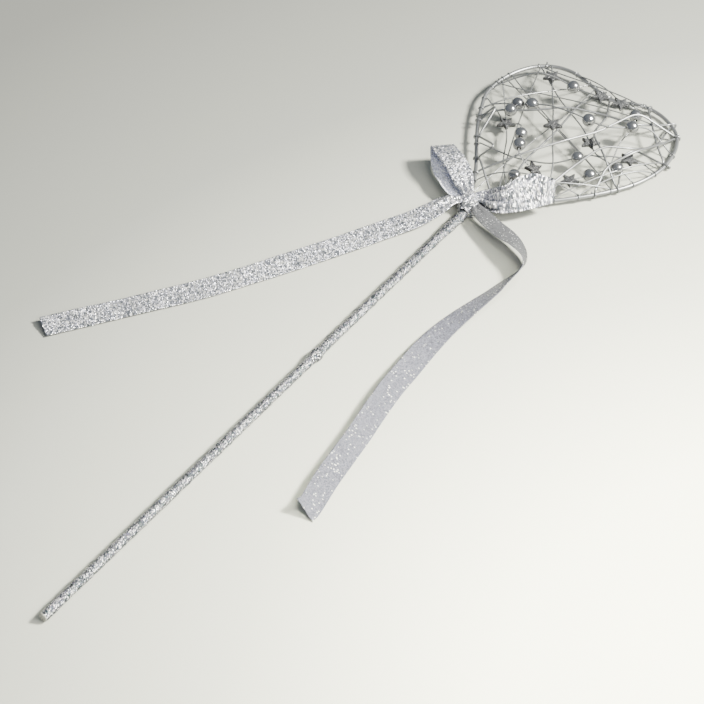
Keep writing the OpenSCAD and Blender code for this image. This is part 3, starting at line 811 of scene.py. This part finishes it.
def cut_end(lift, seed):
    """A slightly frayed cut end whose first edge curls up from the table."""
    def shape(grid, s, u):
        t = np.clip((s - s[-1] + 6) / 6, 0, 1)[:, None] ** 2
        grid[:, :, 2] += lift * t * np.clip(0.5 - u * 0.9, 0, 1)[None, :]
        out = unit(grid[-1, 0] - grid[-2, 0])
        for j in range(len(u)):
            grid[-1, j] += out * 0.45 * wave(j * 0.83, seed)
    return shape


def row(v):
    """A point in the neck's frame, in mm, as one in the row's frame, in metres."""
    return tuple((V(v, float) + MOVE) * MM)


# each row is a point of the ribbon's middle line and the direction of its width, times its share
# of the full width
LOOP_LEFT = [
    [0.6, 1.6, 6.6, -0.28, 0.25, 0], [2.19, 3.59, 7.6, -0.42, 0.35, 0],
    [4.81, 6.77, 8.99, -0.65, 0.52, -0.03], [7.26, 9.96, 10.63, -0.8, 0.6, -0.05],
    [9.54, 13.37, 12.05, -0.84, 0.53, -0.08], [11.57, 17.13, 12.88, -0.87, 0.48, -0.09],
    [13.63, 20.98, 12.99, -0.85, 0.52, -0.08], [16.04, 24.56, 12.49, -0.79, 0.62, -0.03],
    [17.42, 26.13, 11.87, -0.74, 0.67, 0.02], [18.75, 27.75, 11.23, -0.7, 0.71, 0.05],
    [19.6, 28.73, 9.65, -0.65, 0.75, 0.05], [18.23, 27.8, 8.4, -0.61, 0.79, 0.03],
    [14.63, 25.17, 8.21, -0.61, 0.79, -0.03], [11.2, 22.35, 7.65, -0.69, 0.73, -0.04],
    [8.24, 19.06, 6.9, -0.78, 0.63, -0.03], [5.68, 15.37, 6.69, -0.83, 0.56, 0],
    [3.24, 11.67, 5.93, -0.81, 0.51, 0], [1.01, 7.87, 5.2, -0.63, 0.29, -0.02],
    [0.4, 2.6, 5.4, -0.4, 0.1, 0],
]
LOOP_RIGHT = [
    [1.4, -0.6, 6.2, 0.3, 0.05, 0.15], [3.16, -2.48, 6.47, 0.5, -0.01, 0.22],
    [2.53, -7.74, 7.32, 0.66, 0.17, 0.47], [2.96, -12.65, 9.07, 0.69, 0.38, 0.62],
    [5.32, -17.14, 10.02, 0.55, 0.51, 0.66], [9.03, -20.78, 10.29, 0.44, 0.57, 0.69],
    [12.97, -24.16, 10.89, 0.38, 0.55, 0.75], [16.6, -27.69, 11.87, 0.41, 0.36, 0.84],
    [18.68, -28.28, 11.14, 0.46, 0.32, 0.83], [20.73, -29.04, 10.99, 0.55, 0.31, 0.77],
    [21.06, -26.86, 10.63, 0.68, 0.24, 0.69], [20.59, -24.45, 10.58, 0.73, 0.22, 0.65],
    [18.83, -19.84, 11.12, 0.58, 0.41, 0.7], [14.85, -17.02, 11.02, 0.27, 0.62, 0.73],
    [9.86, -16.07, 10.89, 0.22, 0.69, 0.69], [5.63, -13.65, 10.1, 0.55, 0.59, 0.59],
    [3.87, -9.31, 8.73, 0.85, 0.25, 0.36], [3.88, -4.3, 7.21, 0.66, -0.01, 0.19],
    [1.6, -0.2, 6.6, 0.35, 0, 0.15],
]
TAIL_LEFT = [
    [-1.5, 2.4, 6.4, 0.2, 0.38, 0.1], [-5.2, 6.2, 6.8, 0.36, 0.54, 0.05],
    [-9, 8.6, 5.8, 0.46, 0.78, 0.02], [-14, 11.2, 4.2, 0.5, 0.86, 0.06],
    [-22, 15.4, 2.7, 0.5, 0.86, 0.12], [-33, 21.6, 1.9, 0.48, 0.87, 0.15],
    [-52, 31.2, 1.8, 0.47, 0.87, 0.17], [-70.5, 41, 1.8, 0.49, 0.86, 0.18],
    [-90, 51.8, 1.7, 0.5, 0.85, 0.16], [-110.5, 63.8, 1.7, 0.53, 0.83, 0.18],
    [-131, 78, 1.6, 0.56, 0.82, 0.14], [-149, 90.6, 1.7, 0.56, 0.81, 0.18],
    [-166, 102.4, 1.9, 0.54, 0.83, 0.2],
]
TAIL_RIGHT = [
    [-0.6, -1.6, 5.2, -0.35, 0.2, 0], [-2.6, -4.4, 5.6, -0.5, 0.23, 0],
    [-5.38, -9.53, 5.84, -0.66, 0.3, 0], [-7.32, -13.91, 5.84, -0.74, 0.31, 0.04],
    [-8.98, -18.41, 5.94, -0.82, 0.32, 0.11], [-10.52, -22.95, 6.15, -0.88, 0.35, 0.18],
    [-12.14, -27.43, 6.46, -0.87, 0.37, 0.31], [-14.08, -31.78, 6.71, -0.8, 0.34, 0.49],
    [-16.36, -35.93, 6.42, -0.69, 0.2, 0.69], [-19.46, -39.24, 5.56, -0.5, -0.08, 0.85],
    [-23.79, -40.5, 4.7, -0.31, -0.41, 0.84], [-28.51, -40.17, 4.16, -0.2, -0.59, 0.78],
    [-33.28, -39.45, 3.84, -0.16, -0.68, 0.71], [-38.07, -38.85, 3.46, -0.16, -0.75, 0.63],
    [-42.84, -38.24, 3.03, -0.18, -0.82, 0.55], [-56.97, -35.36, 1.85, -0.2, -0.93, 0.31],
    [-71.21, -33.32, 0.82, -0.07, -0.99, 0.07], [-85.43, -33.66, 1.41, 0.06, -0.97, -0.19],
    [-99.52, -34.98, 2.12, 0.07, -0.93, -0.34], [-113.63, -36.12, 2.46, 0.09, -0.9, -0.41],
    [-127.63, -38.09, 2.45, 0.14, -0.89, -0.41], [-141.6, -40.45, 2.46, 0.14, -0.89, -0.41],
    [-155.64, -42.36, 2.44, 0.12, -0.9, -0.41], [-169.62, -44.31, 2.45, 0.16, -0.9, -0.41],
    [-183.43, -47.12, 2.43, 0, -0.9, -0.43], [-188.03, -47.47, 2.6, -0.17, -0.87, -0.46],
]


def make_bow():
    # the left loop's other side has the paler copy of FACE, painted light on its shaded part
    ribbon("loop_left", LOOP_LEFT, "bow_loop_left", [FACE, FACE_PAINTED_LIT],
           gathers(2, 12, 2.5, 0.7, 0.6, both=60), 1.0)
    ribbon("loop_right", LOOP_RIGHT, "bow_loop_right", [STREAKED, STREAKED],
           gathers(4, 18, 2.2, 1.2, 2.0, both=64), 2.0)
    ribbon("long_tail_left", TAIL_LEFT, "tail_left", [FACE, FACE],
           gathers(0, 22, 1.6, 0.9, 0.9), 3.0, frayed=cut_end(0.0, 3.7),
           blend=("wand", "tail_left", row([-3, 4, 6.6]), row([-13, 11, 5])))
    ribbon("long_tail_right", TAIL_RIGHT, "tail_right", [BACK, SATIN],
           gathers(0, 12, 1.6, 0.5, 0.2), 4.0, frayed=cut_end(1.6, 8.1), ripple=0.12,
           blend=("wand", "tail_right", row([-3, -4.5, 5.6]), row([-8, -16, 6])))


def knot_lump():
    """The ribbon pulled tight over the middle of the bow, with creases along it."""
    n, m = 60, 90
    points, uv = [], []
    for i in range(n + 1):
        a = math.pi * i / n
        for j in range(m):
            b = 2 * math.pi * j / m
            x, y, z = math.cos(a), math.sin(a) * math.cos(b), math.sin(a) * math.sin(b)
            bulge = 1 + 0.07 * math.cos(9 * y + 2.2 * x + 1.5 * wave(x * 2, y * 2, z * 2))
            bulge += 0.10 * wave(x * 1.7 + 3, y * 1.7, z * 1.7)
            points.append([-0.4 + 4.7 * x * bulge, 0.2 + 4.3 * y * bulge, 5.5 + 3.4 * z * bulge])
            uv.append([0.5 * x, 0.45 * b])
    faces = [(i * m + j, i * m + (j + 1) % m, (i + 1) * m + (j + 1) % m, (i + 1) * m + j)
             for i in range(n) for j in range(m)]
    return V(points), faces, V(uv)


BAND_START, BAND_END = -6.0, 1.8
BAND_Z, BAND_R, BAND_THICK = 2.78, 2.65, 0.45


def knot_band():
    """The sleeve of ribbon under the lump, round the neck and the wire ends, closed on the stem."""
    angle = np.linspace(0, 2 * math.pi, 96, endpoint=False)
    xs = np.linspace(BAND_START, BAND_END, 27)
    outer = []
    for x in xs:
        lip = 0.25 * (1 - min(1, 2.2 * (BAND_END - x)))
        close = clamped((-4.4 - x) / 1.6)
        crease = 0.12 * math.cos(4.2 * x)
        for a in angle:
            ca, sa = math.cos(a), math.sin(a)
            r = BAND_R - lip - 0.4 * close + crease + 0.12 * wave(x / 2, ca * 2, sa * 2)
            wide = (2.0 - 1.8 * close) * np.sign(ca) * min(1, abs(ca) * 2)
            outer.append([x, wide + r * ca, BAND_Z + r * sa])
    k = len(angle)
    outer_faces = [(i * k + j, i * k + (j + 1) % k, (i + 1) * k + (j + 1) % k, (i + 1) * k + j)
                   for i in range(len(xs) - 1) for j in range(k)]
    outer = V(outer)
    outward = outer - V([0, 0, BAND_Z])
    outward[:, 0] = 0
    inner = outer - outward / np.linalg.norm(outward, axis=1)[:, None] * BAND_THICK
    n = len(outer)
    inner_faces = [tuple(q + n for q in f[::-1]) for f in outer_faces]
    rims = []
    for base in (0, (len(xs) - 1) * k):
        for j in range(k):
            a, b = base + j, base + (j + 1) % k
            rims.append((a, b, b + n, a + n) if base else (a + n, b + n, b, a))
    uv = V([[x / 10, 0.26 * a] for x in xs for a in angle])
    return np.vstack([outer, inner]), outer_faces + inner_faces + rims, np.vstack([uv, uv])


def make_knot():
    """The bow's knot: the lump and the sleeve under it, as one padded piece."""
    p, f, u = joined([knot_lump(), knot_band()])
    o = new_object("knot", p, f, FACE, u)
    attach(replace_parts(o, "bow_knot"), "wand")


# ---------------------------------------------------------------- stem

WRAP_START, WRAP_END = -286.2, -4.7
WRAP_PITCH = 6.6
WRAP_COVER = 1.28  # pitches that the ribbon's width covers, so that each turn laps the next
WRAP_R, WRAP_MEAN_R = 1.72, 1.95  # inner radius, and the one for the ribbon's length
BUMP_AT = -115.0  # the one bigger lump
WRAP_LOW = 0.22  # the lowest that the wrap's middle surface comes to the table


def make_stem():
    """Ribbon wound over the rod, each turn lying on the edge of the one before."""
    per, across = 56, 14  # faces for each turn, and across the ribbon
    n = int((WRAP_END - WRAP_START) / WRAP_PITCH * per)
    grid = np.zeros((n + 1, across + 1, 3))
    share = np.linspace(0, WRAP_COVER, across + 1)
    for i in range(n + 1):
        a = 2 * math.pi * i / per
        for j, c in enumerate(share):
            x = WRAP_END - WRAP_PITCH * (i / per + c) + WRAP_PITCH * 0.9
            x += 0.5 * wave(i / per * 0.7, 3.0)
            neck = clamped((x + 24) / 5)
            # each turn slopes: its edge toward the neck lies on the turn before
            r = WRAP_R + 0.28 * (1 - min(c, 1)) - 0.1 * max(0, c - 1) / 0.28
            y, z = math.cos(a), math.sin(a)
            r += 0.13 * wave(x / 4.5, y * 1.2, z * 1.2) + 0.05 * wave(x * 1.3, y * 3, z * 3)
            bump = math.exp(-((x - BUMP_AT) / 2.6) ** 2) * 0.75
            tip = clamped((-282.5 - x) / 3)
            r += bump + 0.12 * tip
            grid[i, j] = [x, r * y + 0.42 * neck * y, STEM_Z + r * z]
    # what comes past the cut end of the rod is folded in over it
    over = np.maximum(0, WRAP_START - grid[:, :, 0])
    fold = np.clip(1 - 0.32 * np.minimum(over, 1.0), 0.05, 1)
    grid[:, :, 0] = np.where(over > 0, WRAP_START + 0.12 * np.minimum(over, 1.0),
                             np.minimum(grid[:, :, 0], WRAP_END + 0.2))
    grid[:, :, 1] *= fold
    grid[:, :, 2] = STEM_Z + (grid[:, :, 2] - STEM_Z) * fold
    grid[:, :, 2] = np.maximum(grid[:, :, 2], WRAP_LOW)
    turn_length = math.hypot(2 * math.pi * WRAP_MEAN_R, WRAP_PITCH)
    along = np.arange(n + 1)[:, None] / per * turn_length
    p, f, uv, _ = sheet_mesh(grid, 0.16, along, share[None, :] * WIDTH / WRAP_COVER)
    o = new_object("stem_ribbon", p, f, WOUND, uv)
    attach(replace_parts(o, "stem_wrap", "tip_fold"), "wand")
    # the rod stays the part's own node, in a better material
    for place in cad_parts["stem_core"].material_slots:
        place.material = ROD.material


GLUE_FRONT, GLUE_BACK = -286.55, -284.3
GLUE_R, GLUE_ROOT_R = 1.86, 1.5


def make_tip():
    """The rod's end, sealed with an uneven dab of glue."""
    rings, sides = 14, 48
    angles = [2 * math.pi * k / sides for k in range(sides)]
    points = []
    for i in range(rings + 1):
        t = i / rings
        r = GLUE_R * math.sin(t * math.pi / 2)
        for a in angles:
            y, z = r * math.cos(a), r * math.sin(a)
            x = (GLUE_FRONT + 0.55 * t ** 3 + 0.22 * wave(y * 1.3, z * 1.3, 2.0)
                 + 0.1 * wave(y * 3.5, z * 3.5, 7.0))
            points.append([x, y, STEM_Z + z])
    for a in angles:
        points.append([GLUE_BACK, GLUE_ROOT_R * math.cos(a), STEM_Z + GLUE_ROOT_R * math.sin(a)])
    faces = [(i * sides + k, (i + 1) * sides + k, (i + 1) * sides + (k + 1) % sides,
              i * sides + (k + 1) % sides) for i in range(rings + 1) for k in range(sides)]
    o = new_object("tip_seal", points, faces, GLUE)
    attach(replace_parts(o, "tip_glue"), "wand")


# ---------------------------------------------------------------- table and light

def area(name, at, size, power, colour, to):
    """A square area light of this size in metres and power in watts, aimed at to."""
    data = bpy.data.lights.new(name, "AREA")
    data.shape, data.size, data.energy, data.color = "SQUARE", size, power, colour
    o = bpy.data.objects.new(name, data)
    o.location = at
    bpy.context.scene.collection.objects.link(o)
    aim(o, to)
    return o


TABLE_HALF, TABLE_Z = 4.0, -0.0002
WARM = (1.0, 0.99, 0.86)


def make_stage():
    """The table, the four lights and the pale bluish room."""
    mesh = bpy.data.meshes.new("table")
    corners = [(-1, -1), (1, -1), (1, 1), (-1, 1)]
    mesh.from_pydata([(x * TABLE_HALF, y * TABLE_HALF, TABLE_Z) for x, y in corners],
                     [], [(0, 1, 2, 3)])
    # the table's colour carries a painted pool of light, palest near the lamp
    mesh.materials.append(floor_painted_light_pool())
    table = bpy.data.objects.new("table", mesh)
    bpy.context.scene.collection.objects.link(table)
    to = V([0.02, -0.02, 0])
    key = unit(RIGHT - AWAY * 0.12 + V([0, 0, 0.96]))
    area("key", to + key * 1.05, 0.17, 66, WARM, to)
    # a pale card beside the key, seen only in the shine
    side = unit(RIGHT - AWAY * 0.1 + V([0, 0, 0.9]))
    card = area("card", to + side * 1.1, 0.75, 6, (1, 1, 1), to)
    card.visible_diffuse = False
    # two weaker lights on the near part of the table, not seen in the shine
    fill = area("fill", to + RIGHT * 0.26 - AWAY * 0.42 + V([0, 0, 0.42]), 0.35, 6.0,
                (1.0, 0.99, 0.9), to + RIGHT * 0.2 - AWAY * 0.3)
    pool = area("pool", to + RIGHT * 0.16 - AWAY * 0.3 + V([0, 0, 0.9]), 0.2, 1.0,
                (1.0, 0.99, 0.80), to + RIGHT * 0.13 - AWAY * 0.2)
    pool.data.spread = math.radians(30)
    fill.visible_glossy = pool.visible_glossy = False
    world = bpy.data.worlds.new("room")
    world.use_nodes = True
    world.node_tree.nodes["Background"].inputs[0].default_value = (0.78, 0.88, 1.0, 1)
    world.node_tree.nodes["Background"].inputs[1].default_value = 0.36
    bpy.context.scene.world = world


make_camera()
make_wires()
make_beads()
make_stars()
make_bow()
make_knot()
make_stem()
make_tip()
make_stage()
